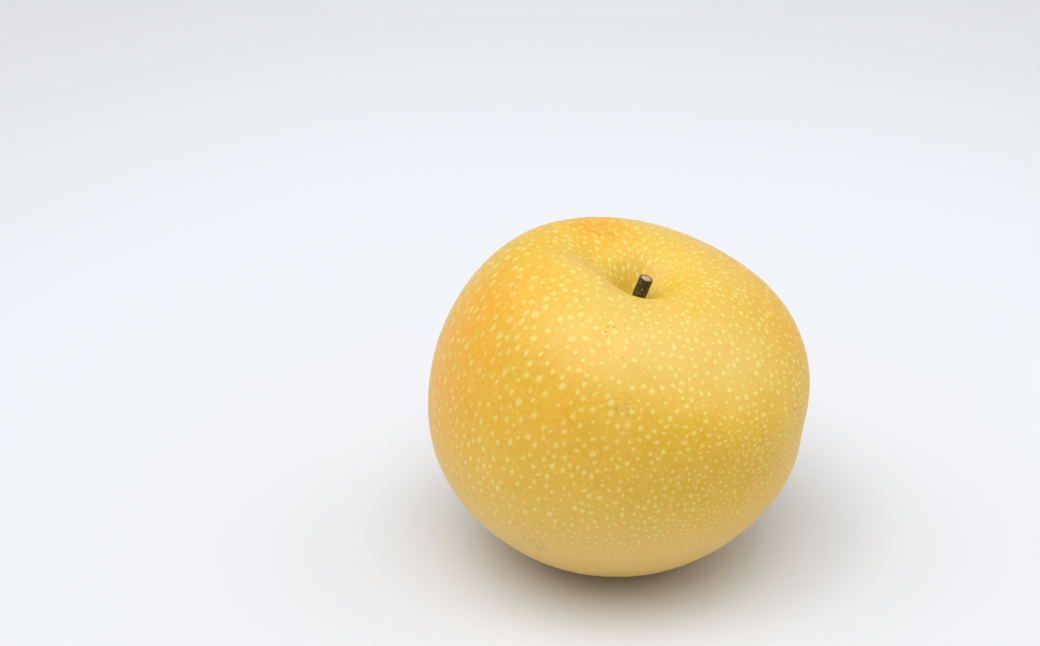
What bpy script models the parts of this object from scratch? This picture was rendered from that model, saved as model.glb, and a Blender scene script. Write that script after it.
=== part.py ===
"""An Asian pear (nashi): a round, lopsided fruit with its trimmed stem.

Units are metres, +Z is up and the front faces -Y. The fruit stands on the rim of its calyx basin, which is
flattened a little at z = 0, and the origin lies on that plane under the middle of the fruit's bounding box.

The skin is one closed surface, measured from the middle of its widest ring. A rounded profile gets shoulders
of uneven height, a stem cavity, a calyx basin and faint ribs, and then its upper half leans to one side.
"""

import math

import bmesh
import bpy
import numpy as np
from mathutils import Matrix, Vector

# Plain profile
FRUIT_RADIUS = 0.0500  # at the widest ring
SHOULDER_HEIGHT = 0.0452  # from the widest ring up to the crown, before the stem cavity
BASE_DEPTH = 0.0444  # from the widest ring down to the calyx end, before the basin
SHOULDER_SQUARENESS = 2.56  # exponent of the upper profile: 2 is an ellipse, more is boxier
BASE_SQUARENESS = 1.88  # exponent of the lower profile
SQUARENESS_BLEND = 0.60  # how far the two exponents mix across the widest ring, as a cosine

# Shoulders of uneven height
SHOULDER_RISE = 0.0030  # one side stands this much higher, and the opposite side this much lower
SHOULDER_RISE_TOWARDS = math.radians(100.0)
SHOULDER_SADDLE = 0.0018  # two opposite sides stand this much higher than the two between them
SHOULDER_SADDLE_TOWARDS = math.radians(20.0)

# Lean of the upper half, as one side of the fruit grew fuller than the other
LEAN = math.radians(26.1)
LEAN_TOWARDS = math.radians(9.0)
LEAN_START = -0.47  # height where the lean begins, as a share of SHOULDER_HEIGHT

# Faint ribs over the seed chambers
RIB_COUNT = 5
RIB_HEIGHT = 0.00025
RIB_HEADING = math.radians(20.0)

# Stem cavity: a throat, a dish around it, and a raised lip along one edge of the dish
THROAT_AT = (-0.0089, -0.0002)
THROAT_DEPTH = 0.0108
THROAT_RADIUS = 0.0070
DISH_AT = (-0.0191, -0.0038)
DISH_DEPTH = 0.0109
DISH_HALF_LENGTH = 0.0153
DISH_HALF_WIDTH = 0.0191
DISH_HEADING = math.radians(22.0)
LIP_AT = (-0.0239, -0.0115)
LIP_HEIGHT = 0.0029
LIP_HALF_LENGTH = 0.0101
LIP_HALF_WIDTH = 0.0075
LIP_HEADING = math.radians(156.0)

# Calyx basin underneath, and the flat ring that the fruit rests on
BASIN_DEPTH = 0.0070
BASIN_RADIUS = 0.0115
FLAT_DEPTH = 0.0003  # how far the rim is flattened

# Stem, cut off short
STEM_AT = (-0.0088, -0.0004)  # where it goes in, close to the throat's middle
STEM_RADIUS = 0.00168
STEM_LENGTH = 0.0141  # from the bottom of its socket to the cut end
STEM_LEAN = math.radians(20.0)
STEM_LEAN_TOWARDS = math.radians(11.0)
STEM_FLARE = 1.10  # thickness of the cut end, as a share of the root's
STEM_EDGE = 0.0002  # chamfer of the cut end
SOCKET_DEPTH = 0.0045  # how deep the stem goes into the fruit
SOCKET_CLEARANCE = 0.0003  # gap between the stem and its socket

# Mesh resolution
SEGMENTS = 72
RINGS = 52
RING_CROWDING = 0.33  # how far the rings crowd towards the two ends: 0 spaces them evenly
STEM_POINTS = 6
STEM_SIDES = 16

UP = Vector((0.0, 0.0, 1.0))


def smoothstep(low, high, value):
    """0 below low, 1 above high, and a smooth ramp between them."""
    share = np.clip((value - low) / (high - low), 0.0, 1.0)
    return share * share * (3.0 - 2.0 * share)


def heading(angle):
    return Vector((math.cos(angle), math.sin(angle), 0.0))


def bell(x, y, at, size, half_length, half_width, towards=0.0):
    """Size of a bell-shaped hollow or bump, at a place seen from above."""
    x = x - at[0]
    y = y - at[1]
    along = x * math.cos(towards) + y * math.sin(towards)
    across = y * math.cos(towards) - x * math.sin(towards)
    return size * np.exp(-((along / half_length) ** 2) - (across / half_width) ** 2)


def cavity_depth(x, y):
    throat = bell(x, y, THROAT_AT, THROAT_DEPTH, THROAT_RADIUS, THROAT_RADIUS)
    dish = bell(x, y, DISH_AT, DISH_DEPTH, DISH_HALF_LENGTH, DISH_HALF_WIDTH, DISH_HEADING)
    lip = bell(x, y, LIP_AT, LIP_HEIGHT, LIP_HALF_LENGTH, LIP_HALF_WIDTH, LIP_HEADING)
    return throat + dish - lip


def basin_depth(x, y):
    return bell(x, y, (0.0, 0.0), BASIN_DEPTH, BASIN_RADIUS, BASIN_RADIUS)


def shoulder_height(distance, azimuth):
    """How much higher or lower the uneven shoulders stand than the plain profile."""
    share = (distance / FRUIT_RADIUS) ** 2
    rise = SHOULDER_RISE * np.cos(azimuth - SHOULDER_RISE_TOWARDS)
    saddle = SHOULDER_SADDLE * np.cos(2.0 * (azimuth - SHOULDER_SADDLE_TOWARDS))
    return 4.0 * share * (1.0 - share) * (rise + saddle)


def leaned(points, angles, towards):
    """Each point turned about the centre by its own angle, which tips +Z towards a heading."""
    axis = np.array(UP.cross(heading(towards)))
    cosine = np.cos(angles)[:, None]
    sine = np.sin(angles)[:, None]
    along = (points @ axis)[:, None] * axis
    return points * cosine + np.cross(axis, points) * sine + along * (1.0 - cosine)


def shaped(distance, azimuth, height):
    """Moves points of the plain profile, given in cylindrical coordinates, onto the fruit's skin."""
    x = distance * np.cos(azimuth)
    y = distance * np.sin(azimuth)
    share = smoothstep(LEAN_START, 1.0, height / SHOULDER_HEIGHT)
    top = shoulder_height(distance, azimuth) - cavity_depth(x, y)
    height = height + np.where(height > 0.0, top, basin_depth(x, y))
    rib = RIB_HEIGHT * np.cos(RIB_COUNT * (azimuth - RIB_HEADING)) / FRUIT_RADIUS
    points = np.stack([x * (1.0 + rib), y * (1.0 + rib), height], axis=1)
    return leaned(points, LEAN * share, LEAN_TOWARDS)


def skin_points(directions):
    """Where the skin lies in each direction from the middle of the widest ring."""
    cosine = directions[:, 2]
    sine = np.hypot(directions[:, 0], directions[:, 1])
    azimuth = np.arctan2(directions[:, 1], directions[:, 0])
    mix = smoothstep(-SQUARENESS_BLEND, SQUARENESS_BLEND, cosine)
    power = BASE_SQUARENESS + (SHOULDER_SQUARENESS - BASE_SQUARENESS) * mix
    half_height = np.where(cosine > 0.0, SHOULDER_HEIGHT, BASE_DEPTH)
    across = (sine / FRUIT_RADIUS) ** power
    along = (np.abs(cosine) / half_height) ** power
    radius = (across + along) ** (-1.0 / power)
    return shaped(radius * sine, azimuth, radius * cosine)


def stem_foot():
    """The point of the stem cavity where the stem goes in."""
    distance = np.array([math.hypot(*STEM_AT)])
    azimuth = np.array([math.atan2(STEM_AT[1], STEM_AT[0])])
    below_crown = 1.0 - (distance / FRUIT_RADIUS) ** SHOULDER_SQUARENESS
    height = SHOULDER_HEIGHT * below_crown ** (1.0 / SHOULDER_SQUARENESS)
    return Vector(shaped(distance, azimuth, height)[0])


def link(obj, collection, parent=None):
    collection.objects.link(obj)
    obj.parent = parent
    return obj


def new_material(name, colour, roughness):
    material = bpy.data.materials.new(name)
    material.use_nodes = True
    shader = material.node_tree.nodes["Principled BSDF"]
    shader.inputs["Base Color"].default_value = (*colour, 1.0)
    shader.inputs["Roughness"].default_value = roughness
    shader.inputs["Metallic"].default_value = 0.0
    return material


def skin_mesh():
    """The closed skin: a UV sphere moved onto the skin, with more rings near its ends and a flattened rim."""
    shape = bmesh.new()
    bmesh.ops.create_uvsphere(shape, u_segments=SEGMENTS, v_segments=RINGS, radius=1.0)
    sphere = np.array([vertex.co for vertex in shape.verts])
    polar = np.arccos(np.clip(sphere[:, 2], -1.0, 1.0))
    azimuth = np.arctan2(sphere[:, 1], sphere[:, 0])
    polar = polar - RING_CROWDING * np.sin(2.0 * polar)
    sine = np.sin(polar)
    directions = np.stack([sine * np.cos(azimuth), sine * np.sin(azimuth), np.cos(polar)], axis=1)
    points = skin_points(directions)
    points[:, 2] = np.maximum(points[:, 2], points[:, 2].min() + FLAT_DEPTH)
    for vertex, point in zip(shape.verts, points):
        vertex.co = point
    bmesh.ops.recalc_face_normals(shape, faces=shape.faces)
    mesh = bpy.data.meshes.new("fruit")
    shape.to_mesh(mesh)
    shape.free()
    mesh.shade_smooth()
    return mesh


def standing_offset(mesh):
    """Moves the fruit so that its flattened rim is at z = 0 and its box is centred over the origin."""
    xs, ys, zs = zip(*(vertex.co for vertex in mesh.vertices))
    return Vector((-(min(xs) + max(xs)) / 2.0, -(min(ys) + max(ys)) / 2.0, -min(zs)))


def cone_mesh(start_radius, end_radius, length):
    """A closed cone that starts at its own origin and runs along +Z."""
    shape = bmesh.new()
    bmesh.ops.create_cone(
        shape, cap_ends=True, segments=STEM_SIDES, radius1=start_radius, radius2=end_radius, depth=length
    )
    bmesh.ops.translate(shape, verts=shape.verts, vec=UP * length / 2.0)
    mesh = bpy.data.meshes.new("socket_cutter")
    shape.to_mesh(mesh)
    shape.free()
    return mesh


def place_on_stem_axis(obj, depth):
    """Puts obj's origin on the stem's axis, this far below the cavity's skin, with its +Z along the stem."""
    turn = Matrix.Rotation(STEM_LEAN, 3, UP.cross(heading(STEM_LEAN_TOWARDS)))
    obj.location = stem_foot() - turn @ UP * depth
    obj.rotation_euler = turn.to_euler()


def socket_cutter(collection, parent):
    """The hole that the stem stands in. It reaches up past the stem, so that it clears the throat's wall."""
    end_radius = STEM_RADIUS * STEM_FLARE + SOCKET_CLEARANCE
    mesh = cone_mesh(STEM_RADIUS + SOCKET_CLEARANCE, end_radius, STEM_LENGTH + SOCKET_CLEARANCE)
    cutter = link(bpy.data.objects.new("socket_cutter", mesh), collection, parent)
    cutter.hide_render = True
    cutter.display_type = "WIRE"
    place_on_stem_axis(cutter, SOCKET_DEPTH + SOCKET_CLEARANCE)
    return cutter


def stem_curve():
    """A short flared rod from its own origin along +Z, with flat ends."""
    curve = bpy.data.curves.new("stem", "CURVE")
    curve.dimensions = "3D"
    curve.bevel_depth = STEM_RADIUS
    curve.bevel_resolution = STEM_SIDES // 4 - 1
    curve.use_fill_caps = True
    spline = curve.splines.new("POLY")
    spline.points.add(STEM_POINTS - 1)
    for index, point in enumerate(spline.points):
        share = index / (STEM_POINTS - 1)
        point.co = (0.0, 0.0, STEM_LENGTH * share, 1.0)
        point.radius = 1.0 + (STEM_FLARE - 1.0) * share
    return curve


def add_stem(collection, parent):
    stem = link(bpy.data.objects.new("stem", stem_curve()), collection, parent)
    place_on_stem_axis(stem, SOCKET_DEPTH)
    weld = stem.modifiers.new("weld_caps", "WELD")
    weld.merge_threshold = 0.00001
    edge = stem.modifiers.new("cut_edge", "BEVEL")
    edge.width = STEM_EDGE
    edge.segments = 2
    edge.limit_method = "ANGLE"
    edge.angle_limit = math.radians(60.0)
    stem.data.materials.append(new_material("stem_bark", (0.085, 0.055, 0.025), 0.7))
    return stem


def build():
    for obj in list(bpy.data.objects):
        bpy.data.objects.remove(obj, do_unlink=True)
    pear = bpy.data.collections.new("asian_pear")
    cutters = bpy.data.collections.new("cutters")
    for collection in (pear, cutters):
        bpy.context.scene.collection.children.link(collection)

    mesh = skin_mesh()
    centre = link(bpy.data.objects.new("fruit_centre", None), pear)
    centre.location = standing_offset(mesh)

    fruit = link(bpy.data.objects.new("fruit", mesh), pear, centre)
    fruit.data.materials.append(new_material("pear_skin", (0.78, 0.48, 0.07), 0.45))
    socket = fruit.modifiers.new("stem_socket", "BOOLEAN")
    socket.operation = "DIFFERENCE"
    socket.solver = "EXACT"
    socket.object = socket_cutter(cutters, centre)
    add_stem(pear, centre)


build()
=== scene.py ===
"""A lopsided golden Asian pear with its trimmed stem, on a pale floor in soft studio light.

Everything is in metres in the CAD model's frame. The skin repeats the formula of the CAD source at a finer
resolution, and adds the pale spots (lenticels), the corky calyx scar and the small swellings of a real skin.
"""

import math

import bpy
import numpy as np
from mathutils import Matrix, Vector, geometry, kdtree, noise


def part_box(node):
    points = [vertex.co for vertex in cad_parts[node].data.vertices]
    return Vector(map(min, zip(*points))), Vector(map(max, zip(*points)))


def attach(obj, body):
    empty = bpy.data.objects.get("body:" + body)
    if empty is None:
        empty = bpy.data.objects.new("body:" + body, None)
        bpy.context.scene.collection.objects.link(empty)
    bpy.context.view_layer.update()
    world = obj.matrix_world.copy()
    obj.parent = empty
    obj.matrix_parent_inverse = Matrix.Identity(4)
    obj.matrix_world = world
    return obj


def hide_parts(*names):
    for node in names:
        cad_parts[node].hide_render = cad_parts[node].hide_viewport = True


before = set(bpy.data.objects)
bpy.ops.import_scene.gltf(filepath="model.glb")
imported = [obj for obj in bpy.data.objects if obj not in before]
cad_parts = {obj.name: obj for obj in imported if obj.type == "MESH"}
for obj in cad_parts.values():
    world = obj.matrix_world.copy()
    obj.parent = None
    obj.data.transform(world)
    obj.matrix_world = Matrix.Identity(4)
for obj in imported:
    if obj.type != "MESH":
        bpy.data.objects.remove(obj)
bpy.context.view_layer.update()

SEED = 20716
MM = 0.001
UP = Vector((0.0, 0.0, 1.0))

# ---- The fruit's form, as in the CAD source ----
FRUIT_RADIUS = 0.0500
SHOULDER_HEIGHT = 0.0452
BASE_DEPTH = 0.0444
SHOULDER_SQUARENESS = 2.56
BASE_SQUARENESS = 1.88
SQUARENESS_BLEND = 0.60
SHOULDER_RISE = 0.0030
SHOULDER_RISE_TOWARDS = math.radians(100.0)
SHOULDER_SADDLE = 0.0018
SHOULDER_SADDLE_TOWARDS = math.radians(20.0)
LEAN = math.radians(26.1)
LEAN_TOWARDS = math.radians(9.0)
LEAN_START = -0.47
RIB_COUNT = 5
RIB_HEIGHT = 0.00025
RIB_HEADING = math.radians(20.0)
THROAT_AT = (-0.0089, -0.0002)
THROAT_DEPTH = 0.0108
THROAT_RADIUS = 0.0070
DISH_AT = (-0.0191, -0.0038)
DISH_DEPTH = 0.0109
DISH_HALF_LENGTH = 0.0153
DISH_HALF_WIDTH = 0.0191
DISH_HEADING = math.radians(22.0)
LIP_AT = (-0.0239, -0.0115)
LIP_HEIGHT = 0.0029
LIP_HALF_LENGTH = 0.0101
LIP_HALF_WIDTH = 0.0075
LIP_HEADING = math.radians(156.0)
BASIN_DEPTH = 0.0070
BASIN_RADIUS = 0.0115
FLAT_DEPTH = 0.0003

# ---- The stem's form, as in the CAD source ----
STEM_AT = (-0.0088, -0.0004)
STEM_RADIUS = 0.00168
STEM_LENGTH = 0.0141
STEM_LEAN = math.radians(20.0)
STEM_LEAN_TOWARDS = math.radians(11.0)
STEM_FLARE = 1.10
SOCKET_DEPTH = 0.0045

# ---- Detail that only the visual model has ----
# Lenticels, by height on the fruit: cosine of the polar angle, spacing and radius
LENTICEL_LEVELS = (
    (-1.00, 2.1 * MM, 0.50 * MM),
    (-0.80, 2.2 * MM, 0.58 * MM),
    (-0.40, 2.35 * MM, 0.68 * MM),
    (0.00, 2.7 * MM, 0.82 * MM),
    (0.40, 3.0 * MM, 0.98 * MM),
    (0.80, 2.95 * MM, 1.02 * MM),
    (1.00, 2.9 * MM, 0.98 * MM),
)
LENTICEL_TRIES = 60000
LENTICEL_CROWDING = 4.0  # how many of the tries are kept at first, for each one that there is room for
LENTICEL_CLOSEST = 0.68  # least distance between two of them, as a share of the spacing
LENTICEL_INNER = 5  # mesh points on the inner ring of each
LENTICEL_OUTER = 9
FINER_SIDE = (0.75, -0.6, -0.1)  # direction in which they are smaller and closer
FINER_SIDE_WIDTH = 0.8
FINER_SIDE_BY = 0.20
FINER_IN_CAVITY_WIDTH = 0.3
FINER_IN_CAVITY_BY = 0.40
LENTICEL_STRETCH = 0.35  # share by which they are drawn out towards the stem, beside it
LENTICEL_STRETCH_REACH = 0.34  # angle from the stem over which that falls off
LENTICEL_RELIEF = 0.035 * MM
LENTICEL_SIZE_SPREAD = 0.24  # standard deviation of their size, as a share of it
LENTICEL_SIZE_LIMITS = (0.5, 1.5)
LENTICEL_STRENGTHS = (0.75, 1.0)  # of the middle point
LENTICEL_INNER_STRENGTHS = (0.55, 0.85)  # of the inner ring, as a share of the middle's
LENTICEL_INNER_RADII = (0.42, 0.62)  # of the rings' points, in radii of the lenticel
LENTICEL_OUTER_RADII = (0.85, 1.15)
LENTICEL_STRETCH_LIMITS = (0.9, 1.15)  # of each one's own stretch
BARE_BY_STEM = 3.4 * MM  # no lenticels this close to the stem
BARE_BY_CALYX = 0.18  # nor within this angle of the bottom

SWELLING_HEIGHT = 0.16 * MM  # soft unevenness of the skin
SWELLING_LENGTH = 17.0 * MM
SMALL_SWELLING = 0.4  # height of the smaller swellings on it, as a share
SMALL_SWELLING_FINER = 2.7  # how many times shorter they are

COLLAR_RADIUS = 2.5 * MM  # the skin's swollen edge around the stem
COLLAR_HEIGHT = 0.45 * MM
COLLAR_WIDTH = 0.65 * MM
COLLAR_SINK = 1.6 * MM  # how far the skin goes down along the stem's side, out of sight
COLLAR_SINK_SHARES = (0.80, 1.08)  # where that starts and ends, in stem radii
COLLAR_REACH = 6.0 * MM

SCAR_RADIUS = 4.2 * MM  # corky scar in the calyx basin
SCAR_RIDGE = 0.35 * MM
SCAR_RIDGE_WIDTH = 0.18  # in scar radii
SCAR_PIT_DEPTH = 2.0 * MM
SCAR_PIT_RADIUS = 1.5 * MM
FOLD_COUNT = 10
FOLD_HEIGHT = 0.30 * MM
FOLD_RING = 1.9  # radius of the ring of folds, in scar radii
FOLD_RING_WIDTH = 0.75

# Mesh points that aren't a lenticel's
COLLAR_RINGS_MM = (0.7, 1.3, 1.7, 1.95, 2.2, 2.5, 2.85, 3.3)  # distances from the stem's axis
COLLAR_RING_SIDES = 32
COLLAR_RING_TURN = 0.1  # turn of each ring, in radians for each millimetre
SCAR_RING_STEP_MM = 0.4  # distance between the rings around the middle of the bottom
SCAR_RINGS_END_MM = 8.4
SCAR_RING_SIDES = 40
SCAR_INNER_RING_SIDES = 20
SCAR_INNER_RINGS_MM = 1.5
SCAR_RING_TURN = 2.4  # turn of each ring, in radians for each millimetre
FILLER_COUNT = 13500  # points over the whole sphere, of which those between the lenticels stay
FINE_FILLER_COUNT = 60000  # the same for the cavity and the basin
FINE_ABOVE = 0.89  # cosine of the polar angle above which the filler is fine
FINE_BELOW = -0.97
FILLER_FROM_STEM = 3.7 * MM
FILLER_FROM_LENTICEL = 1.3  # in radii of the lenticel

# Where the tints of the cavity and the calyx lie, and the tan of the lower half, which is partly the skin's
# own and partly painted reflection of the pale floor. Edges are cosines of the polar angle, or distances
# from the axis in metres
UPPER_EDGE = (0.0, 0.3)
LOWER_EDGE = (-0.6, -0.9)
CAVITY_TINT_RADIUS = 13.0 * MM
THROAT_TINT_RADIUS = 3.2 * MM
CALYX_TINT_EDGE = (4.0 * MM, 6.5 * MM)
BASIN_TINT_EDGE = (6.0 * MM, 15.0 * MM)
TAN_AND_PAINTED_REFLECTION_EDGE = (0.15, -0.55)

# Patches of the skin: a direction from the middle of the widest ring, an angular width and a strength
ORANGE_PATCHES = (
    ((-0.86, -0.40, 0.30), 0.38, 0.70),
    ((-0.95, -0.25, 0.00), 0.40, 0.45),
    ((-0.42, -0.82, 0.38), 0.24, 0.42),
    ((-0.24, -0.93, 0.27), 0.20, 0.30),
    ((-0.48, 0.32, 0.82), 0.17, 0.95),
    ((0.57, 0.00, 0.82), 0.22, 0.50),
    ((0.32, 0.30, 0.90), 0.20, 0.35),
    ((0.80, -0.50, -0.25), 0.30, 0.35),
    ((0.20, 0.95, 0.15), 0.60, 0.60),
    ((0.90, 0.35, 0.20), 0.35, 0.35),
)
GREEN_PATCHES = (
    ((0.25, -0.84, 0.48), 0.20, 0.50),
    ((0.30, -0.93, 0.22), 0.28, 0.65),
    ((0.62, -0.67, 0.41), 0.22, 0.45),
    ((0.62, -0.76, 0.10), 0.32, 0.45),
    ((-0.55, -0.75, 0.37), 0.10, 0.35),
    ((0.00, -0.98, -0.12), 0.28, 0.35),
    ((-0.60, 0.80, 0.00), 0.60, 0.60),
    ((0.60, 0.60, -0.50), 0.45, 0.40),
)
# Painted highlight: paler patches on the upper side of the fruit, where the overhead light falls and shines
PAINTED_HIGHLIGHT_PATCHES = (
    ((-0.18, -0.62, 0.75), 0.36, 1.00),
    ((0.35, -0.48, 0.80), 0.30, 0.75),
    ((-0.45, -0.25, 0.86), 0.22, 0.55),
    ((-0.05, 0.45, 0.88), 0.30, 0.60),
    ((0.20, 0.10, 0.97), 0.25, 0.40),
)
# Painted shade: a deeper, more saturated band around the middle of the fruit, where little light falls or is
# reflected
PAINTED_SHADE_BAND_PATCHES = (
    ((-0.25, -0.92, 0.30), 0.36, 0.75),
    ((0.35, -0.90, 0.25), 0.38, 0.75),
    ((-0.75, -0.60, 0.25), 0.34, 0.60),
    ((0.78, -0.60, 0.20), 0.34, 0.75),
    ((-0.20, 0.95, 0.20), 0.50, 0.50),
)
# Painted sheen: a pinkish pale reflection at grazing angles, mostly along the crest and the upper back edges
PAINTED_SHEEN_PATCHES = (
    ((-0.58, -0.13, 0.80), 0.10, 0.90),
    ((-0.43, -0.05, 0.90), 0.08, 0.80),
    ((-0.19, -0.33, 0.92), 0.07, 0.50),
    ((-0.20, 0.55, 0.80), 0.16, 0.60),
    ((0.15, 0.50, 0.85), 0.20, 0.60),
    ((0.05, -0.98, -0.50), 0.35, 0.40),
)
CRACKED_PATCHES = (
    ((-0.46, 0.32, 0.83), 0.07, 1.0),
    ((0.05, 0.24, 0.97), 0.05, 0.9),
    ((0.30, 0.90, 0.35), 0.06, 0.9),
)
SPECKED_PATCHES = (
    ((-0.36, -0.60, 0.71), 0.06, 1.0),
    ((-0.25, -0.73, 0.64), 0.04, 1.0),
    ((0.76, -0.37, 0.53), 0.05, 1.0),
    ((-0.50, 0.05, 0.86), 0.05, 0.8),
    ((0.50, 0.80, -0.20), 0.10, 1.0),
    ((-0.80, 0.55, 0.30), 0.08, 1.0),
)
SCUFFED_PATCHES = (
    ((-0.13, -0.87, 0.48), 0.06, 0.9),
    ((-0.40, -0.85, -0.34), 0.07, 0.9),
    ((-0.46, 0.32, 0.83), 0.08, 1.0),
    ((0.85, 0.45, -0.10), 0.09, 0.9),
    ((-0.35, 0.90, 0.10), 0.08, 0.9),
)
PATCHES = {
    "orange": ORANGE_PATCHES,
    # The pale patches are a painted highlight
    "green": GREEN_PATCHES,
    "pale": PAINTED_HIGHLIGHT_PATCHES,
    # The deep patches are a painted shade band
    "painted_shade_band": PAINTED_SHADE_BAND_PATCHES,
    # The blush patches are painted sheen
    "painted_sheen": PAINTED_SHEEN_PATCHES,
    "cracked": CRACKED_PATCHES,
    "specked": SPECKED_PATCHES,
    "scuffed": SCUFFED_PATCHES,
}


def smoothstep(low, high, value):
    share = np.clip((value - low) / (high - low), 0.0, 1.0)
    return share * share * (3.0 - 2.0 * share)


def heading(angle):
    return Vector((math.cos(angle), math.sin(angle), 0.0))


def bell(x, y, at, size, half_length, half_width, towards=0.0):
    """Size of a bell-shaped hollow or bump, at a place seen from above."""
    x = x - at[0]
    y = y - at[1]
    along = x * math.cos(towards) + y * math.sin(towards)
    across = y * math.cos(towards) - x * math.sin(towards)
    return size * np.exp(-((along / half_length) ** 2) - (across / half_width) ** 2)


def cavity_depth(x, y):
    throat = bell(x, y, THROAT_AT, THROAT_DEPTH, THROAT_RADIUS, THROAT_RADIUS)
    dish = bell(x, y, DISH_AT, DISH_DEPTH, DISH_HALF_LENGTH, DISH_HALF_WIDTH, DISH_HEADING)
    lip = bell(x, y, LIP_AT, LIP_HEIGHT, LIP_HALF_LENGTH, LIP_HALF_WIDTH, LIP_HEADING)
    return throat + dish - lip


def basin_depth(x, y):
    """Depth of the calyx basin, with the folds, the scar's ridge and the pit in its middle."""
    distance = np.hypot(x, y)
    azimuth = np.arctan2(y, x)
    basin = bell(x, y, (0.0, 0.0), BASIN_DEPTH, BASIN_RADIUS, BASIN_RADIUS)
    pit = SCAR_PIT_DEPTH * np.exp(-((distance / SCAR_PIT_RADIUS) ** 2))
    ridge = SCAR_RIDGE * np.exp(-(((distance - SCAR_RADIUS) / (SCAR_RIDGE_WIDTH * SCAR_RADIUS)) ** 2))
    where = np.exp(-(((distance - FOLD_RING * SCAR_RADIUS) / (FOLD_RING_WIDTH * SCAR_RADIUS)) ** 2))
    # The folds aren't evenly spaced
    warp = 0.5 * np.sin(2.0 * azimuth + 1.0) + 0.35 * np.sin(3.0 * azimuth)
    folds = FOLD_HEIGHT * where * np.cos(FOLD_COUNT * azimuth + 2.0 * warp)
    return basin + pit - ridge + folds


def shoulder_height(distance, azimuth):
    share = (distance / FRUIT_RADIUS) ** 2
    rise = SHOULDER_RISE * np.cos(azimuth - SHOULDER_RISE_TOWARDS)
    saddle = SHOULDER_SADDLE * np.cos(2.0 * (azimuth - SHOULDER_SADDLE_TOWARDS))
    return 4.0 * share * (1.0 - share) * (rise + saddle)


def leaned(points, angles, towards):
    """Each point turned about the centre by its own angle, which tips +Z towards a heading."""
    axis = np.array(UP.cross(heading(towards)))
    cosine = np.cos(angles)[:, None]
    sine = np.sin(angles)[:, None]
    along = (points @ axis)[:, None] * axis
    return points * cosine + np.cross(axis, points) * sine + along * (1.0 - cosine)


def shaped(distance, azimuth, height):
    """Moves points of the plain profile, given in cylindrical coordinates, onto the fruit's skin."""
    x = distance * np.cos(azimuth)
    y = distance * np.sin(azimuth)
    share = smoothstep(LEAN_START, 1.0, height / SHOULDER_HEIGHT)
    top = shoulder_height(distance, azimuth) - cavity_depth(x, y)
    height = height + np.where(height > 0.0, top, basin_depth(x, y))
    rib = RIB_HEIGHT * np.cos(RIB_COUNT * (azimuth - RIB_HEADING)) / FRUIT_RADIUS
    points = np.stack([x * (1.0 + rib), y * (1.0 + rib), height], axis=1)
    return leaned(points, LEAN * share, LEAN_TOWARDS)


def skin_points(directions):
    """Where the skin lies in each direction from the middle of the widest ring."""
    cosine = directions[:, 2]
    sine = np.hypot(directions[:, 0], directions[:, 1])
    azimuth = np.arctan2(directions[:, 1], directions[:, 0])
    mix = smoothstep(-SQUARENESS_BLEND, SQUARENESS_BLEND, cosine)
    power = BASE_SQUARENESS + (SHOULDER_SQUARENESS - BASE_SQUARENESS) * mix
    half_height = np.where(cosine > 0.0, SHOULDER_HEIGHT, BASE_DEPTH)
    across = (sine / FRUIT_RADIUS) ** power
    along = (np.abs(cosine) / half_height) ** power
    radius = (across + along) ** (-1.0 / power)
    return shaped(radius * sine, azimuth, radius * cosine)


def crown_height(distance):
    """Height of the plain upper profile near the crown."""
    below_crown = 1.0 - (distance / FRUIT_RADIUS) ** SHOULDER_SQUARENESS
    return SHOULDER_HEIGHT * below_crown ** (1.0 / SHOULDER_SQUARENESS)


def stem_foot():
    """The point of the cavity's skin where the stem goes in, from the middle of the widest ring."""
    distance = np.array([math.hypot(*STEM_AT)])
    azimuth = np.array([math.atan2(STEM_AT[1], STEM_AT[0])])
    return Vector(shaped(distance, azimuth, crown_height(distance))[0])


# ---- Points of the skin's mesh, as directions from the middle of the widest ring ----
BOTTOM = np.array((0.0, 0.0, -1.0))


def unit(vectors):
    return vectors / np.linalg.norm(vectors, axis=-1, keepdims=True)


def angle_between(directions, middle):
    return np.arccos(np.clip(directions @ middle, -1.0, 1.0))


def lobe(directions, towards, width):
    """A smooth patch around one direction: 1 in its middle, falling off over this angle in radians."""
    middle = np.array(Vector(towards).normalized())
    return np.exp(-((angle_between(directions, middle) / width) ** 2))


def patches(directions, marks):
    """Sum of smooth patches, each given by its direction, its angular width and its strength."""
    total = sum(strength * lobe(directions, towards, width) for towards, width, strength in marks)
    return np.clip(total, 0.0, 1.0)


def sphere_spiral(count):
    """Directions spread evenly over the sphere."""
    index = np.arange(count) + 0.5
    cosine = 1.0 - 2.0 * index / count
    sine = np.sqrt(1.0 - cosine * cosine)
    azimuth = math.pi * (1.0 + math.sqrt(5.0)) * index
    return np.stack([sine * np.cos(azimuth), sine * np.sin(azimuth), cosine], axis=1)


def tangents(direction):
    """Two directions at right angles to this one and to each other."""
    side = np.cross(direction, (0.0, 0.0, 1.0) if abs(direction[2]) < 0.9 else (1.0, 0.0, 0.0))
    side = side / np.linalg.norm(side)
    return side, np.cross(direction, side)


def ring(direction, angles, radii, axes=None, stretch=1.0):
    """Directions around one direction, at these angles and angular radii.

    The two axes lie across the direction. A stretch draws the ring out along the first one.
    """
    first, second = axes or tangents(direction)
    offset = np.cos(angles)[:, None] * first * stretch + np.sin(angles)[:, None] * second / stretch
    return unit(direction + offset * np.tan(radii)[:, None])


def stem_direction():
    """The direction in which the stem goes into the skin."""
    distance = math.hypot(*STEM_AT)
    return unit(np.array([STEM_AT[0], STEM_AT[1], crown_height(distance)]))


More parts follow.
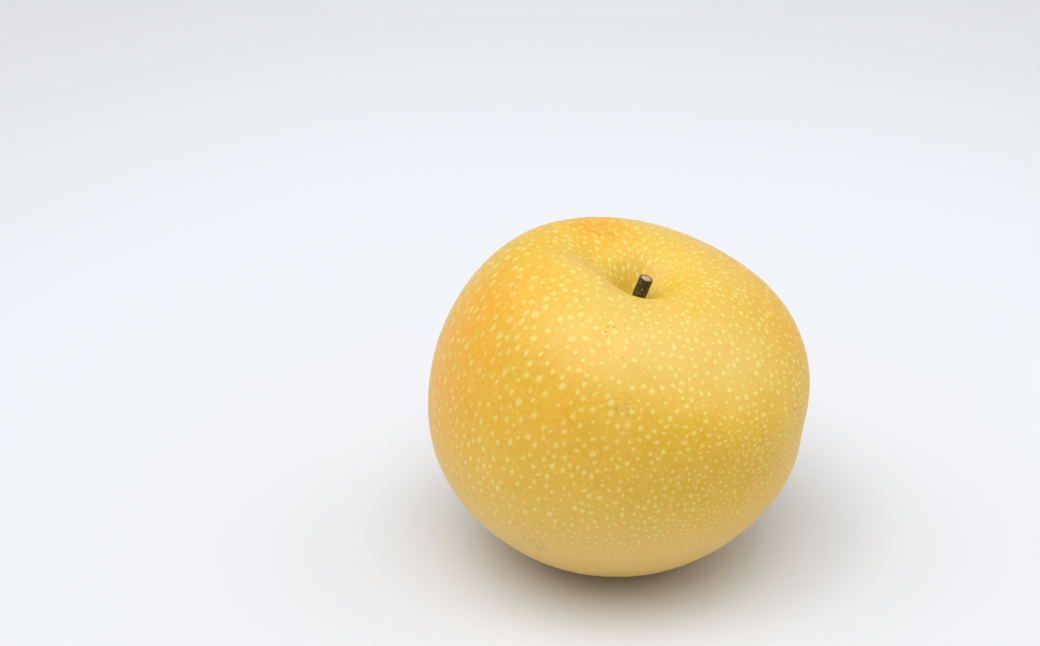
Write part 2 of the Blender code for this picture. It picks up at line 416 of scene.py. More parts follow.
def scatter_lenticels(rng):
    """Directions of the lenticels and the angular radius of each, spaced by height and never too close."""
    cosines, spacings, radii = np.array(LENTICEL_LEVELS).T
    spacings = spacings / FRUIT_RADIUS
    radii = radii / FRUIT_RADIUS
    tries = unit(rng.normal(size=(LENTICEL_TRIES, 3)))
    on_side = FINER_SIDE_BY * lobe(tries, FINER_SIDE, FINER_SIDE_WIDTH)
    in_cavity = FINER_IN_CAVITY_BY * lobe(tries, stem_direction(), FINER_IN_CAVITY_WIDTH)
    finer = 1.0 - on_side - in_cavity
    spacing = np.interp(tries[:, 2], cosines, spacings) * finer
    wanted = LENTICEL_CROWDING * 4.0 * math.pi / (LENTICEL_TRIES * spacing ** 2)
    kept = rng.random(LENTICEL_TRIES) < wanted
    spread = np.clip(rng.normal(1.0, LENTICEL_SIZE_SPREAD, LENTICEL_TRIES), *LENTICEL_SIZE_LIMITS)
    size = np.interp(tries[:, 2], cosines, radii) * finer * spread
    for middle, least in ((stem_direction(), BARE_BY_STEM / FRUIT_RADIUS), (BOTTOM, BARE_BY_CALYX)):
        kept &= angle_between(tries, middle) > least
    cell = spacings.max()
    grid = {}
    chosen = []
    for index in np.flatnonzero(kept):
        place = tries[index]
        key = tuple(np.floor(place / cell).astype(int))
        near = [
            other
            for dx in (-1, 0, 1)
            for dy in (-1, 0, 1)
            for dz in (-1, 0, 1)
            for other in grid.get((key[0] + dx, key[1] + dy, key[2] + dz), ())
        ]
        least = LENTICEL_CLOSEST * spacing[index]
        if near and (np.linalg.norm(tries[near] - place, axis=1) < least).any():
            continue
        grid.setdefault(key, []).append(index)
        chosen.append(index)
    return tries[chosen], size[chosen]


def lenticel_rings(rng, centre, radius):
    """The two rings of mesh points around a lenticel's middle, and the strengths of the inner one."""
    throat = stem_direction()
    turn = rng.uniform(0.0, 2.0 * math.pi)
    inner = turn + np.arange(LENTICEL_INNER) * 2.0 * math.pi / LENTICEL_INNER
    outer = turn + np.arange(LENTICEL_OUTER) * 2.0 * math.pi / LENTICEL_OUTER
    inward = unit(throat - centre * (throat @ centre))
    axes = (inward, np.cross(centre, inward))
    away = np.linalg.norm(throat - centre)
    stretch = 1.0 + LENTICEL_STRETCH * math.exp(-((away / LENTICEL_STRETCH_REACH) ** 2))
    stretch *= rng.uniform(*LENTICEL_STRETCH_LIMITS)
    inner_radii = radius * rng.uniform(*LENTICEL_INNER_RADII, LENTICEL_INNER)
    outer_radii = radius * rng.uniform(*LENTICEL_OUTER_RADII, LENTICEL_OUTER)
    inner_strengths = rng.uniform(*LENTICEL_INNER_STRENGTHS, LENTICEL_INNER)
    inner_ring = ring(centre, inner, inner_radii, axes, stretch)
    outer_ring = ring(centre, outer, outer_radii, axes, stretch)
    return inner_ring, outer_ring, inner_strengths


def even_ring(middle, count, radius, turn):
    """This many directions evenly around one direction."""
    angles = np.linspace(0.0, 2.0 * math.pi, count + 1)[:-1] + turn
    return ring(middle, angles, np.full(count, radius))


def collar_rings():
    """Rings of mesh points around the stem, for its collar."""
    throat = stem_direction()
    return [
        even_ring(throat, COLLAR_RING_SIDES, distance * MM / FRUIT_RADIUS, COLLAR_RING_TURN * distance)
        for distance in COLLAR_RINGS_MM
    ]


def scar_rings():
    """Rings of mesh points around the middle of the bottom, for the calyx scar and its folds."""
    rings = []
    for distance in np.arange(SCAR_RING_STEP_MM, SCAR_RINGS_END_MM, SCAR_RING_STEP_MM):
        sides = SCAR_RING_SIDES if distance > SCAR_INNER_RINGS_MM else SCAR_INNER_RING_SIDES
        rings.append(even_ring(BOTTOM, sides, distance * MM / BASE_DEPTH, SCAR_RING_TURN * distance))
    return rings


def filler_points(centres, radii):
    """The remaining mesh points, clear of the lenticels, the collar's rings and the scar's rings."""
    placed = kdtree.KDTree(len(centres))
    for index, centre in enumerate(centres):
        placed.insert(centre, index)
    placed.balance()
    coarse = sphere_spiral(FILLER_COUNT)
    fine = sphere_spiral(FINE_FILLER_COUNT)
    is_fine = (fine[:, 2] > FINE_ABOVE) | (fine[:, 2] < FINE_BELOW)
    is_coarse = (coarse[:, 2] <= FINE_ABOVE) & (coarse[:, 2] >= FINE_BELOW)
    filler = np.concatenate([coarse[is_coarse], fine[is_fine]])
    keep = angle_between(filler, stem_direction()) > FILLER_FROM_STEM / FRUIT_RADIUS
    keep &= angle_between(filler, BOTTOM) > SCAR_RINGS_END_MM * MM / BASE_DEPTH
    for index in np.flatnonzero(keep):
        _, nearest, distance = placed.find(filler[index])
        keep[index] = distance > FILLER_FROM_LENTICEL * radii[nearest]
    return filler[keep]


def mesh_directions(rng):
    """Every direction of the skin's mesh, and how much of a lenticel each is: 1 in its middle, 0 off it."""
    centres, radii = scatter_lenticels(rng)
    strengths = rng.uniform(*LENTICEL_STRENGTHS, len(centres))
    directions = [centres]
    values = [strengths]
    for centre, radius, strength in zip(centres, radii, strengths):
        inner, outer, inner_values = lenticel_rings(rng, centre, radius)
        directions += [inner, outer]
        values += [strength * inner_values, np.zeros(LENTICEL_OUTER)]
    for plain in (*collar_rings(), stem_direction()[None], *scar_rings(), filler_points(centres, radii)):
        directions.append(plain)
        values.append(np.zeros(len(plain)))
    return np.concatenate(directions), np.concatenate(values)


def triangulate(directions):
    """Delaunay triangles of directions on the sphere, by way of the plane.

    The hole that is left at the bottom is closed with a fan around one more point.
    """
    flat = directions[:, :2] / (1.0 + directions[:, 2:3])
    out = geometry.delaunay_2d_cdt([Vector(place) for place in flat], [], [], 0, 1e-9)
    if len(out[0]) != len(directions):
        raise ValueError("two points of the skin fell together")
    faces = np.array([face for face in out[2] if len(face) == 3])
    order = np.array([origin[0] for origin in out[3]])
    faces = order[faces]
    ends = np.concatenate([faces[:, [0, 1]], faces[:, [1, 2]], faces[:, [2, 0]]])
    count = len(directions)
    codes = ends[:, 0] * count + ends[:, 1]
    back = ends[:, 1] * count + ends[:, 0]
    border = ends[~np.isin(codes, back)]
    fan = np.stack([border[:, 1], border[:, 0], np.full(len(border), count)], axis=1)
    return np.concatenate([faces, fan])


def vertex_normals(points, faces):
    corners = points[faces]
    face_normals = np.cross(corners[:, 1] - corners[:, 0], corners[:, 2] - corners[:, 0])
    normals = np.zeros_like(points)
    for corner in range(3):
        for axis in range(3):
            normals[:, axis] += np.bincount(faces[:, corner], face_normals[:, axis], len(points))
    return unit(normals)


def swelling(points):
    """Soft unevenness of the skin, from about -1 to 1."""
    heights = []
    for point in points:
        place = Vector(point)
        broad = noise.noise(place / SWELLING_LENGTH)
        small = noise.noise(place * SMALL_SWELLING_FINER / SWELLING_LENGTH)
        heights.append(broad + SMALL_SWELLING * small)
    return np.array(heights)


def stem_turn():
    return Matrix.Rotation(STEM_LEAN, 3, UP.cross(heading(STEM_LEAN_TOWARDS)))


def collar(points):
    """Moves the skin next to the stem: up into a collar, and down where the stem hides it."""
    along = np.array(stem_turn() @ UP)
    foot = np.array(stem_foot())
    offset = points - foot
    rise = offset @ along
    distance = np.linalg.norm(offset - rise[:, None] * along, axis=1)
    near = (np.abs(rise) < COLLAR_REACH).astype(float)
    bulge = COLLAR_HEIGHT * np.exp(-(((distance - COLLAR_RADIUS) / COLLAR_WIDTH) ** 2))
    start, end = COLLAR_SINK_SHARES
    sunk = COLLAR_SINK * (1.0 - smoothstep(start * STEM_RADIUS, end * STEM_RADIUS, distance))
    return points + ((bulge - sunk) * near)[:, None] * along


def attribute(mesh, name, values):
    layer = mesh.attributes.new(name, "FLOAT", "POINT")
    layer.data.foreach_set("value", np.asarray(values, np.float32))


def fruit_centre(points, floor):
    """Where the middle of the widest ring goes, so that the skin stands in the CAD node's box."""
    low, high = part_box("fruit")
    middle = (points.min(axis=0) + points.max(axis=0)) / 2.0
    return Vector(((low.x + high.x) / 2.0 - middle[0], (low.y + high.y) / 2.0 - middle[1], low.z - floor))


def build_skin():
    rng = np.random.default_rng(SEED)
    directions, lenticel = mesh_directions(rng)
    faces = triangulate(directions)
    directions = np.concatenate([directions, [BOTTOM]])
    lenticel = np.concatenate([lenticel, [0.0]])

    points = skin_points(directions)
    floor = points[:, 2].min() + FLAT_DEPTH
    centre = fruit_centre(points, floor)
    normals = vertex_normals(points, faces)
    relief = SWELLING_HEIGHT * swelling(points) + LENTICEL_RELIEF * lenticel
    points = collar(points + normals * relief[:, None])
    points[:, 2] = np.maximum(points[:, 2], floor)

    mesh = bpy.data.meshes.new("pear_skin")
    mesh.from_pydata((points + np.array(centre)).tolist(), [], faces.tolist())
    mesh.update()
    mesh.shade_smooth()
    add_skin_fields(mesh, directions, points, lenticel)
    skin = bpy.data.objects.new("pear_skin", mesh)
    bpy.context.scene.collection.objects.link(skin)
    return skin, centre


def add_skin_fields(mesh, directions, points, lenticel):
    """The slow fields that the skin's material mixes its colours by."""
    throat = np.array(stem_foot())
    to_throat = np.linalg.norm((points - throat)[:, :2], axis=1)
    upper = smoothstep(*UPPER_EDGE, directions[:, 2])
    to_bottom = np.hypot(points[:, 0], points[:, 1])
    lower = smoothstep(*LOWER_EDGE, directions[:, 2])
    attribute(mesh, "lenticel", lenticel)
    attribute(mesh, "cavity", upper * np.exp(-((to_throat / CAVITY_TINT_RADIUS) ** 2)))
    attribute(mesh, "throat", upper * np.exp(-((to_throat / THROAT_TINT_RADIUS) ** 2)))
    attribute(mesh, "calyx", lower * (1.0 - smoothstep(*CALYX_TINT_EDGE, to_bottom)))
    attribute(mesh, "basin", lower * (1.0 - smoothstep(*BASIN_TINT_EDGE, to_bottom)))
    # Some of these patches are painted light: a painted highlight on the upper side, a painted shade band
    # around the middle and painted sheen at grazing edges
    for name, marks in PATCHES.items():
        attribute(mesh, name, patches(directions, marks))
    # The tan of the lower half is partly the skin's own and partly painted reflection of the pale floor
    attribute(mesh, "tan", smoothstep(*TAN_AND_PAINTED_REFLECTION_EDGE, directions[:, 2]))


# ---- Materials ----
class Nodes:
    """A short way to write a material's node tree."""

    def __init__(self, name):
        self.material = bpy.data.materials.new(name)
        self.material.use_nodes = True
        self.tree = self.material.node_tree
        self.shader = self.tree.nodes["Principled BSDF"]
        self.place = self.add("ShaderNodeTexCoord").outputs["Object"]

    def add(self, kind, **settings):
        node = self.tree.nodes.new(kind)
        for name, value in settings.items():
            setattr(node, name, value)
        return node

    def set(self, socket, value):
        if isinstance(value, bpy.types.NodeSocket):
            self.tree.links.new(value, socket)
        elif isinstance(value, tuple) and len(value) == 3 and socket.type == "RGBA":
            socket.default_value = (*value, 1.0)
        else:
            socket.default_value = value

    def field(self, name):
        return self.add("ShaderNodeAttribute", attribute_name=name).outputs["Fac"]

    def math(self, operation, *values):
        node = self.add("ShaderNodeMath", operation=operation)
        for socket, value in zip(node.inputs, values):
            self.set(socket, value)
        return node.outputs[0]

    def ramp(self, value, low, high, to_low=0.0, to_high=1.0):
        """A smooth ramp of a value."""
        node = self.add("ShaderNodeMapRange", interpolation_type="SMOOTHSTEP")
        for socket, number in zip(node.inputs, (value, low, high, to_low, to_high)):
            self.set(socket, number)
        return node.outputs[0]

    def noise(self, size, detail, roughness, place=None, distortion=0.0):
        """Noise mostly between 0.3 and 0.7, with features of this size in metres."""
        node = self.add("ShaderNodeTexNoise")
        self.set(node.inputs["Vector"], place or self.place)
        self.set(node.inputs["Scale"], 1.0 / size)
        self.set(node.inputs["Detail"], detail)
        self.set(node.inputs["Roughness"], roughness)
        self.set(node.inputs["Distortion"], distortion)
        return node.outputs["Fac"]

    def dots(self, size, full, edge):
        """Round dots scattered this far apart: 1 up to one distance from each middle, 0 past another."""
        node = self.add("ShaderNodeTexVoronoi")
        self.set(node.inputs["Vector"], self.place)
        self.set(node.inputs["Scale"], 1.0 / size)
        return self.math("SUBTRACT", 1.0, self.ramp(node.outputs["Distance"], full, edge))

    def roughened(self, value, wobble, amount):
        """A value that noise moves up and down, by up to half this amount each way."""
        return self.math("ADD", value, self.math("MULTIPLY_ADD", wobble, amount, -0.5 * amount))

    def mix(self, share, first, second):
        node = self.add("ShaderNodeMix", data_type="RGBA")
        self.set(node.inputs["Factor"], share)
        colours = [socket for socket in node.inputs if socket.type == "RGBA"]
        self.set(colours[0], first)
        self.set(colours[1], second)
        return next(socket for socket in node.outputs if socket.type == "RGBA")

    def bump(self, height, distance, strength, under=None):
        node = self.add("ShaderNodeBump")
        self.set(node.inputs["Height"], height)
        self.set(node.inputs["Distance"], distance)
        self.set(node.inputs["Strength"], strength)
        if under is not None:
            self.set(node.inputs["Normal"], under)
        return node.outputs["Normal"]


# Sizes and spacings of the skin's textures, in metres
SLOW_SIZE = 0.024
PATCH_SIZE = 0.010
UNEVEN_SIZE = 0.0055
CRACK_SIZE = 0.0045
DIMPLE_SIZE = 0.0028
SCUFF_SIZE = 0.0016
PALE_DOT_SPACING = 0.0014
SPECK_SPACING = 0.0013
GRAIN_SIZE = 0.0011
FINE_SIZE = 0.00042

# Heights of the skin's bumps, in metres
DIMPLE_HEIGHT = 0.00022
GRAIN_HEIGHT = 0.00005
CORK_HEIGHT = 0.0007

SKIN_IOR = 1.50
SUBSURFACE_WEIGHT = 0.08
SUBSURFACE_RADIUS = (1.0, 0.45, 0.12)
SUBSURFACE_SCALE = 0.002

YELLOW = (0.85, 0.515, 0.036)
ORANGE = (0.95, 0.43, 0.012)
GREEN = (0.71, 0.475, 0.010)
# Painted highlight: the paler colour of the upper, lit side
PAINTED_HIGHLIGHT = (0.86, 0.62, 0.170)
# Tan of the lower half: partly the skin's own colour, partly painted reflection of the pale floor
TAN_AND_PAINTED_FLOOR_REFLECTION = (0.84, 0.55, 0.170)
# Deep tone: used for the painted shade band around the middle, and for random deeper patches of the skin's
# own tone
DEEP_TONE_AND_PAINTED_SHADE = (0.79, 0.43, 0.008)
CAVITY = (0.78, 0.56, 0.030)
OLIVE = (0.50, 0.36, 0.030)
# Painted sheen: the pinkish pale colour of grazing reflection
PAINTED_SHEEN = (0.86, 0.54, 0.170)
WARM_TONE = (0.90, 0.50, 0.100)
GREENISH_TONE = (0.80, 0.55, 0.030)
DARK_GRAIN = (0.58, 0.33, 0.02)
SPOT = (0.96, 0.79, 0.240)
SPOT_LOW = (0.92, 0.68, 0.220)
SPECK = (0.16, 0.085, 0.02)
SCUFF = (0.42, 0.21, 0.05)
CRACK = (0.38, 0.18, 0.04)
BASIN = (0.50, 0.33, 0.09)
CORK = (0.13, 0.065, 0.025)
PALE_CORK = (0.28, 0.16, 0.07)


def zone_colour(n, orange, patch):
    """The slow colour zones of the skin, from the mesh's fields, with a painted highlight on the upper side,
    a painted shade band around the middle, painted sheen at grazing edges and, on the lower half, tan that
    is partly painted floor reflection.
    """
    green = n.ramp(n.roughened(n.field("green"), patch, 0.9), 0.05, 0.9)
    # Painted highlight: the pale field makes the upper, lit side paler
    colour = n.mix(n.math("MULTIPLY", n.field("pale"), 0.7), YELLOW, PAINTED_HIGHLIGHT)
    colour = n.mix(orange, colour, ORANGE)
    colour = n.mix(n.math("MULTIPLY", green, 0.8), colour, GREEN)
    # Painted shade band around the middle of the fruit
    painted_shade_band = n.math("MULTIPLY", n.field("painted_shade_band"), n.ramp(patch, 0.25, 0.60, 0.6, 1.0))
    colour = n.mix(painted_shade_band, colour, DEEP_TONE_AND_PAINTED_SHADE)
    # Random deeper patches of the skin's own tone, in the same colour
    colour = n.mix(n.math("MULTIPLY", n.ramp(patch, 0.45, 0.70), 0.25), colour, DEEP_TONE_AND_PAINTED_SHADE)
    # Painted sheen at grazing edges
    painted_sheen = n.math("MULTIPLY", n.field("painted_sheen"), n.ramp(patch, 0.30, 0.55, 0.4, 1.0))
    colour = n.mix(painted_sheen, colour, PAINTED_SHEEN)
    # Tan of the lower half, partly painted reflection of the pale floor
    colour = n.mix(n.math("MULTIPLY", n.field("tan"), 0.80), colour, TAN_AND_PAINTED_FLOOR_REFLECTION)
    colour = n.mix(n.math("MULTIPLY", n.field("cavity"), 0.55), colour, CAVITY)
    return n.mix(n.math("MULTIPLY", n.field("throat"), 0.50), colour, OLIVE)


def mottled(n, colour, grain, fine):
    """Uneven tone a few millimetres across, and fine mottling on top of it."""
    uneven = n.noise(UNEVEN_SIZE, 3.0, 0.6)
    colour = n.mix(n.ramp(uneven, 0.50, 0.72, 0.0, 0.40), colour, WARM_TONE)
    colour = n.mix(n.ramp(uneven, 0.50, 0.30, 0.0, 0.40), colour, GREENISH_TONE)
    colour = n.mix(n.ramp(grain, 0.35, 0.75, 0.0, 0.16), colour, SPOT)
    return n.mix(n.ramp(fine, 0.55, 0.75, 0.0, 0.14), colour, DARK_GRAIN)


def with_lenticels(n, colour, orange, fine):
    """The lenticels, each with a greener rim and a grainy edge, and tiny pale dots between them."""
    spot = n.field("lenticel")
    rim = n.math("MULTIPLY", n.ramp(spot, 0.0, 0.25), 0.22)
    colour = n.mix(rim, colour, GREEN)
    spot = n.ramp(n.roughened(spot, fine, 0.9), 0.08, 0.90)
    # On the lower half's tan, which is partly painted floor reflection, the lenticels are duller and fainter
    pale = n.mix(n.field("tan"), SPOT, SPOT_LOW)
    on_tan_and_painted_reflection = n.ramp(n.field("tan"), 0.0, 1.0, 0.78, 0.62)
    on_orange = n.ramp(orange, 0.0, 1.0, 1.0, 0.75)
    # The lenticels are fainter in the painted shade band
    on_painted_shade_band = n.ramp(n.field("painted_shade_band"), 0.0, 1.0, 1.0, 0.68)
    strength = n.math("MULTIPLY", n.math("MULTIPLY", on_tan_and_painted_reflection, on_orange), on_painted_shade_band)
    colour = n.mix(n.math("MULTIPLY", spot, strength), colour, pale)
    return n.mix(n.math("MULTIPLY", n.dots(PALE_DOT_SPACING, 0.08, 0.28), 0.32), colour, pale)


def blemished(n, colour):
    """A few dark specks, russet scuffs and fine brown cracks, each where the mesh's fields say."""
    specks = n.math("MULTIPLY", n.dots(SPECK_SPACING, 0.10, 0.24), n.ramp(n.field("specked"), 0.35, 0.7))
    colour = n.mix(n.math("MULTIPLY", specks, 0.8), colour, SPECK)
    flecks = n.ramp(n.noise(SCUFF_SIZE, 4.0, 0.75, distortion=1.5), 0.50, 0.62)
    scuff = n.math("MULTIPLY", flecks, n.field("scuffed"))
    colour = n.mix(n.math("MULTIPLY", scuff, 0.75), colour, SCUFF)
    # The cracks run where this noise passes through its middle value
    level = n.noise(CRACK_SIZE, 2.0, 0.5, distortion=0.8)
    lines = n.math("ABSOLUTE", n.math("SUBTRACT", level, 0.5))
    lines = n.math("SUBTRACT", 1.0, n.ramp(lines, 0.003, 0.018))
    lines = n.math("MULTIPLY", lines, n.ramp(n.field("cracked"), 0.4, 0.7))
    return n.mix(n.math("MULTIPLY", lines, 0.8), colour, CRACK)


def skin_material():
    n = Nodes("pear_skin_material")
    slow = n.noise(SLOW_SIZE, 2.0, 0.5)
    patch = n.noise(PATCH_SIZE, 3.0, 0.55)
    grain = n.noise(GRAIN_SIZE, 3.0, 0.7)
    fine = n.noise(FINE_SIZE, 2.0, 0.7)

    orange = n.ramp(n.roughened(n.field("orange"), slow, 0.8), 0.05, 0.9)
    colour = zone_colour(n, orange, patch)
    colour = mottled(n, colour, grain, fine)
    colour = with_lenticels(n, colour, orange, fine)
    colour = blemished(n, colour)

    # Corky calyx scar
    cork = n.ramp(n.roughened(n.field("calyx"), grain, 0.6), 0.35, 0.6)
    colour = n.mix(n.math("MULTIPLY", n.field("basin"), 0.35), colour, BASIN)
    colour = n.mix(cork, colour, n.mix(n.ramp(grain, 0.35, 0.65), CORK, PALE_CORK))

    roughness = n.ramp(grain, 0.3, 0.7, 0.38, 0.50)
    roughness = n.math("ADD", roughness, n.math("MULTIPLY", cork, 0.35))
    normal = n.bump(n.noise(DIMPLE_SIZE, 3.0, 0.6), DIMPLE_HEIGHT, 0.5)
    normal = n.bump(grain, GRAIN_HEIGHT, 0.5, normal)
    normal = n.bump(n.math("MULTIPLY", grain, cork), CORK_HEIGHT, 0.8, normal)

    n.set(n.shader.inputs["Base Color"], colour)
    n.set(n.shader.inputs["Roughness"], roughness)
    n.set(n.shader.inputs["Normal"], normal)
    n.shader.inputs["IOR"].default_value = SKIN_IOR
    n.shader.inputs["Subsurface Weight"].default_value = SUBSURFACE_WEIGHT
    n.shader.inputs["Subsurface Radius"].default_value = SUBSURFACE_RADIUS
    n.shader.inputs["Subsurface Scale"].default_value = SUBSURFACE_SCALE
    return n.material


# ---- Stem ----
STEM_RINGS = 56
STEM_SIDES = 64
STEM_CAP_RINGS = 9
RINGS_CROWD_TO_TOP = 1.25
BARK_FILL = 0.985  # radius of the bark without its ridges and lumps, as a share of the CAD stem's
CUT_EDGE_START = 0.985  # share of the length where the bark starts to round over into the cut
CUT_EDGE_ROUND = 0.05  # how far it draws in there, as a share of the radius
CUT_GROOVE_DEPTH = 0.00018  # shallow ring in the cut face, in metres
CUT_GROOVE_AT = 0.62  # in radii of the cut face
CUT_PITH_DEPTH = 0.00010
CUT_DIP_WIDTH = 0.2
CUT_GRAIN_HEIGHT = 0.00006
CUT_GRAIN_FINENESS = 2600.0  # per metre

STREAK_SIZE = 0.0007
STREAK_SQUEEZE = 0.28  # along the stem, which draws the streaks out lengthwise
BLOTCH_SIZE = 0.0030
BARK_SPECK_SPACING = 0.00085
BARK_BUMP_HEIGHT = 0.00018
WOOD_GRAIN_SIZE = 0.0007

BARK = (0.020, 0.014, 0.004)
BARK_RIDGE = (0.085, 0.058, 0.015)
BARK_OLIVE = (0.060, 0.054, 0.012)
BARK_SPECK = (0.50, 0.40, 0.20)
WOOD = (0.72, 0.54, 0.42)
WOOD_GRAIN = (0.42, 0.25, 0.15)
WOOD_RIM = (0.14, 0.075, 0.035)


def stem_centreline(share):
    """A point of the stem's axis in its own frame, from its root at 0 to its cut end at 1."""
    return Vector((0.0, 0.0, STEM_LENGTH * share))


def stem_side(share, angle):
    """Radius of the bark at a place on the stem."""
    flare = 1.0 + (STEM_FLARE - 1.0) * share
    ridges = 0.022 * math.sin(7.0 * angle + 3.0 * share) + 0.014 * math.sin(12.0 * angle - 5.0 * share + 1.0)
    place = Vector((2.2 * math.cos(angle), 2.2 * math.sin(angle), 9.0 * share))
    lumps = 0.035 * noise.noise(place) + 0.02 * noise.noise(place * 3.1)
    edge = 1.0 - CUT_EDGE_ROUND * max(0.0, (share - CUT_EDGE_START) / (1.0 - CUT_EDGE_START)) ** 2
    # A swelling where the stem leaves the skin
    root = 0.10 * math.exp(-(((share - 0.30) / 0.07) ** 2))
    return STEM_RADIUS * BARK_FILL * flare * (1.0 + ridges + lumps + root) * edge


def cut_dip(inward, place):
    """How far the cut face lies below a flat cut, as a negative height, at a share of its radius."""
    groove = CUT_GROOVE_DEPTH * math.exp(-(((inward - CUT_GROOVE_AT) / CUT_DIP_WIDTH) ** 2))
    pith = CUT_PITH_DEPTH * math.exp(-((inward / CUT_DIP_WIDTH) ** 2))
    return -groove - pith + CUT_GRAIN_HEIGHT * noise.noise(place * CUT_GRAIN_FINENESS)


def stem_rings():
    """The stem's points in its own frame, ring by ring, and each one's cut value.

    That is 0 on the bark, and rises to 1 in the middle of the cut face.
    """
    points, cut = [], []
    around = [2.0 * math.pi * side / STEM_SIDES for side in range(STEM_SIDES)]
    for level in range(STEM_RINGS + 1):
        share = 1.0 - (1.0 - level / STEM_RINGS) ** RINGS_CROWD_TO_TOP
        for angle in around:
            points.append(stem_centreline(share) + heading(angle) * stem_side(share, angle))
            cut.append(0.0)
    for level in range(1, STEM_CAP_RINGS):
        inward = 1.0 - level / STEM_CAP_RINGS
        for angle in around:
            place = heading(angle) * (stem_side(1.0, angle) * inward)
            points.append(stem_centreline(1.0) + place + UP * cut_dip(inward, place))
            cut.append(1.0 - 0.5 * inward)
    return points, cut


def stem_faces(top, root):
    """Faces between the stem's rings, with fans to its last two points, at the top and at the root."""
    sides = [(side, (side + 1) % STEM_SIDES) for side in range(STEM_SIDES)]
    last = top - STEM_SIDES
    faces = []
    for lower in range(0, last, STEM_SIDES):
        upper = lower + STEM_SIDES
        for side, after in sides:
            faces.append((lower + side, lower + after, upper + after, upper + side))
    for side, after in sides:
        faces.append((last + side, last + after, top))
        faces.append((after, side, root))
    return faces


def build_stem(centre):
    points, cut = stem_rings()
    top = len(points)
    root = top + 1
    points += [stem_centreline(1.0) - UP * CUT_PITH_DEPTH, stem_centreline(0.0)]
    cut += [1.0, 0.0]

    turn = stem_turn()
    foot = centre + stem_foot() - turn @ UP * SOCKET_DEPTH
    mesh = bpy.data.meshes.new("pear_stem")
    mesh.from_pydata([foot + turn @ place for place in points], [], stem_faces(top, root))
    mesh.update()
    mesh.shade_smooth()
    attribute(mesh, "cut", cut)
    stem = bpy.data.objects.new("pear_stem", mesh)
    bpy.context.scene.collection.objects.link(stem)
    return stem


def stem_material():
    n = Nodes("stem_material")
    along = n.add("ShaderNodeMapping")
    n.set(along.inputs["Vector"], n.place)
    along.inputs["Rotation"].default_value = (0.0, -STEM_LEAN, 0.0)
    along.inputs["Scale"].default_value = (1.0, 1.0, STREAK_SQUEEZE)
    streaks = n.noise(STREAK_SIZE, 4.0, 0.65, place=along.outputs["Vector"])
    blotch = n.noise(BLOTCH_SIZE, 2.0, 0.5)
    bark = n.mix(n.ramp(streaks, 0.35, 0.65), BARK, BARK_RIDGE)
    bark = n.mix(n.ramp(blotch, 0.45, 0.65, 0.0, 0.6), bark, BARK_OLIVE)
    specks = n.dots(BARK_SPECK_SPACING, 0.14, 0.26)
    bark = n.mix(n.math("MULTIPLY", specks, 0.75), bark, BARK_SPECK)

    # The cut face: pale wood inside a dark rim
    wood_grain = n.noise(WOOD_GRAIN_SIZE, 3.0, 0.7)
    inward = n.roughened(n.field("cut"), wood_grain, 0.5)
    wood = n.mix(n.ramp(wood_grain, 0.40, 0.65), WOOD, WOOD_GRAIN)
    wood = n.mix(n.ramp(inward, 0.52, 0.72), WOOD_RIM, wood)
    face = n.ramp(n.field("cut"), 0.30, 0.52)

    height = n.math("ADD", streaks, n.math("MULTIPLY", specks, 0.3))
    n.set(n.shader.inputs["Base Color"], n.mix(face, bark, wood))
    n.set(n.shader.inputs["Roughness"], n.ramp(streaks, 0.3, 0.7, 0.55, 0.80))
    n.set(n.shader.inputs["Normal"], n.bump(height, BARK_BUMP_HEIGHT, 0.8))
    return n.material


# ---- Stage, lights and camera ----
FLOOR_HALF_SIDE = 6.0
# Painted light: the floor's colour is brighter near the fruit and dimmer far from it, as a pool of light
# would make it
FLOOR_PAINTED_LIT_NEAR = (0.775, 0.795, 0.835)
FLOOR_PAINTED_DIM_FAR = (0.615, 0.625, 0.650)
FLOOR_PAINTED_LIGHT_FALL_OFF = (0.15, 0.50)  # distances from the fruit, in metres
FLOOR_CLOUD_SIZE = 0.6
FLOOR_SPECULAR = 0.25

SOFTBOX_ANGLE = math.radians(55.0)  # how wide each softbox looks from the fruit
SOFTBOX_COLOUR = (1.0, 0.99, 0.98)
SOFTBOXES = (  # name, direction from the fruit and strength
    ("overhead", (-0.08, -0.28, 1.10), 1.50),
    ("left_panel", (-0.85, 0.05, 1.15), 0.66),
    ("right_panel", (0.90, 0.20, 1.10), 0.56),
)

STUDIO_COLOUR = (0.94, 0.965, 1.0)
# Brightness of the studio by a direction's height: two heights, and what is given at each
BACKDROP = (0.05, 0.18, 0.64, 0.33)  # a pale strip along the horizon, dimmer above it
CEILING = (0.20, 0.90, 0.0, 0.13)  # added to that


def floor_material():
    """A pale surface with painted light: its colour is brightest near the fruit and falls off softly away
    from it.
    """
    n = Nodes("floor_material")
    away = n.add("ShaderNodeVectorMath", operation="LENGTH")
    n.set(away.inputs[0], n.place)
    tone = n.roughened(away.outputs["Value"], n.noise(FLOOR_CLOUD_SIZE, 2.0, 0.5), 0.1)
    # Painted light falloff: brighter colour near the fruit, dimmer far away
    n.set(n.shader.inputs["Base Color"], n.mix(n.ramp(tone, *FLOOR_PAINTED_LIGHT_FALL_OFF), FLOOR_PAINTED_LIT_NEAR, FLOOR_PAINTED_DIM_FAR))
    n.set(n.shader.inputs["Roughness"], n.ramp(tone, 0.1, 0.7, 0.55, 0.65))
    n.shader.inputs["Specular IOR Level"].default_value = FLOOR_SPECULAR
    return n.material


def build_floor():
    mesh = bpy.data.meshes.new("floor")
    half = FLOOR_HALF_SIDE
    corners = [(-half, -half, 0.0), (half, -half, 0.0), (half, half, 0.0), (-half, half, 0.0)]
    mesh.from_pydata(corners, [], [(0, 1, 2, 3)])
    floor = bpy.data.objects.new("floor", mesh)
    bpy.context.scene.collection.objects.link(floor)
    floor.data.materials.append(floor_material())


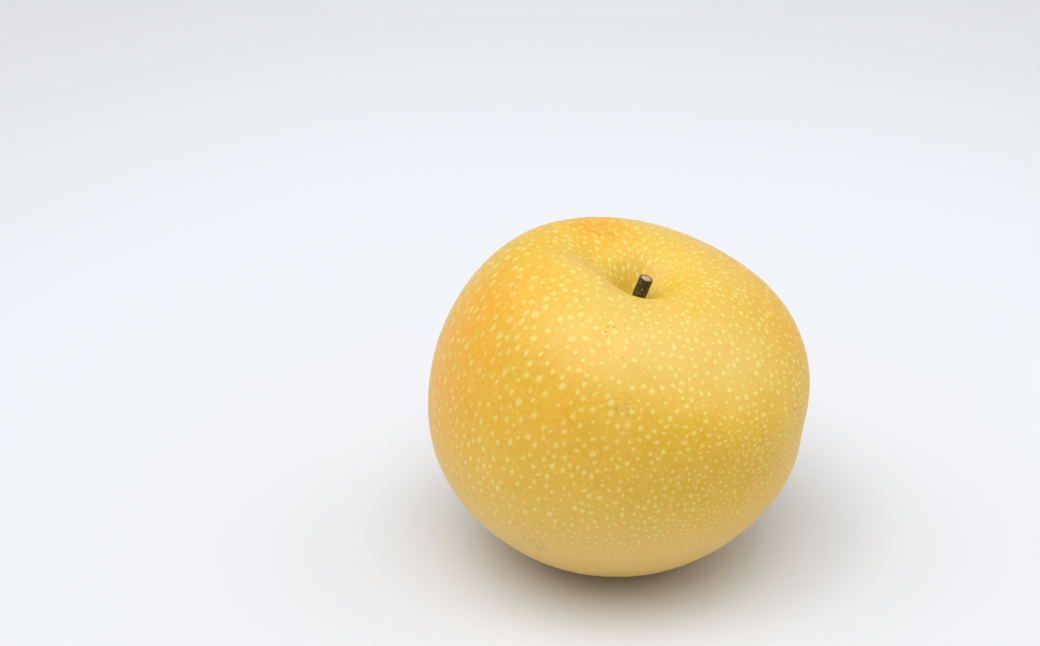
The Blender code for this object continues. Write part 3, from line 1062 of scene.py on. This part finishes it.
def add_softbox(name, towards, strength):
    """A wide, far softbox in this direction from the fruit, so that the whole floor is lit evenly."""
    light = bpy.data.lights.new(name, "SUN")
    light.angle = SOFTBOX_ANGLE
    light.energy = strength
    light.color = SOFTBOX_COLOUR
    lamp = bpy.data.objects.new(name, light)
    lamp.rotation_euler = Vector(towards).to_track_quat("Z", "Y").to_euler()
    bpy.context.scene.collection.objects.link(lamp)


def build_studio():
    """The soft light and the backdrop all round, brighter or dimmer by height only."""
    world = bpy.data.worlds.new("studio")
    bpy.context.scene.world = world
    world.use_nodes = True
    tree = world.node_tree
    background = tree.nodes["Background"]
    background.inputs["Color"].default_value = (*STUDIO_COLOUR, 1.0)
    towards = tree.nodes.new("ShaderNodeSeparateXYZ")
    tree.links.new(tree.nodes.new("ShaderNodeTexCoord").outputs["Generated"], towards.inputs[0])
    total = tree.nodes.new("ShaderNodeMath")
    for numbers, socket in zip((BACKDROP, CEILING), total.inputs):
        ramp = tree.nodes.new("ShaderNodeMapRange")
        ramp.interpolation_type = "SMOOTHSTEP"
        for part, number in zip(list(ramp.inputs)[1:5], numbers):
            part.default_value = number
        tree.links.new(towards.outputs["Z"], ramp.inputs[0])
        tree.links.new(ramp.outputs[0], socket)
    tree.links.new(total.outputs[0], background.inputs["Strength"])


CAMERA_DISTANCE = 0.80
CAMERA_ELEVATION = math.radians(31.0)
CAMERA_AIM = Vector((-0.0265, 0.0104, 0.0593))
CAMERA_LENS = 103.85
CAMERA_SENSOR = 36.0
CAMERA_CLIP = (0.01, 50.0)


def place_camera(centre):
    camera = bpy.data.cameras.new("camera")
    camera.lens = CAMERA_LENS
    camera.sensor_width = CAMERA_SENSOR
    camera.clip_start, camera.clip_end = CAMERA_CLIP
    eye = bpy.data.objects.new("camera", camera)
    back = Vector((0.0, -math.cos(CAMERA_ELEVATION), math.sin(CAMERA_ELEVATION)))
    eye.location = centre + back * CAMERA_DISTANCE
    eye.rotation_euler = (CAMERA_AIM - eye.location).to_track_quat("-Z", "Y").to_euler()
    bpy.context.scene.collection.objects.link(eye)
    bpy.context.scene.camera = eye


def main():
    skin, centre = build_skin()
    skin.data.materials.append(skin_material())
    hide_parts("fruit")
    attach(skin, "root")

    stem = build_stem(centre)
    stem.data.materials.append(stem_material())
    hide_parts("stem")
    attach(stem, "root")

    build_floor()
    for softbox in SOFTBOXES:
        add_softbox(*softbox)
    build_studio()
    bpy.context.scene.view_settings.view_transform = "Standard"
    place_camera(centre)


main()
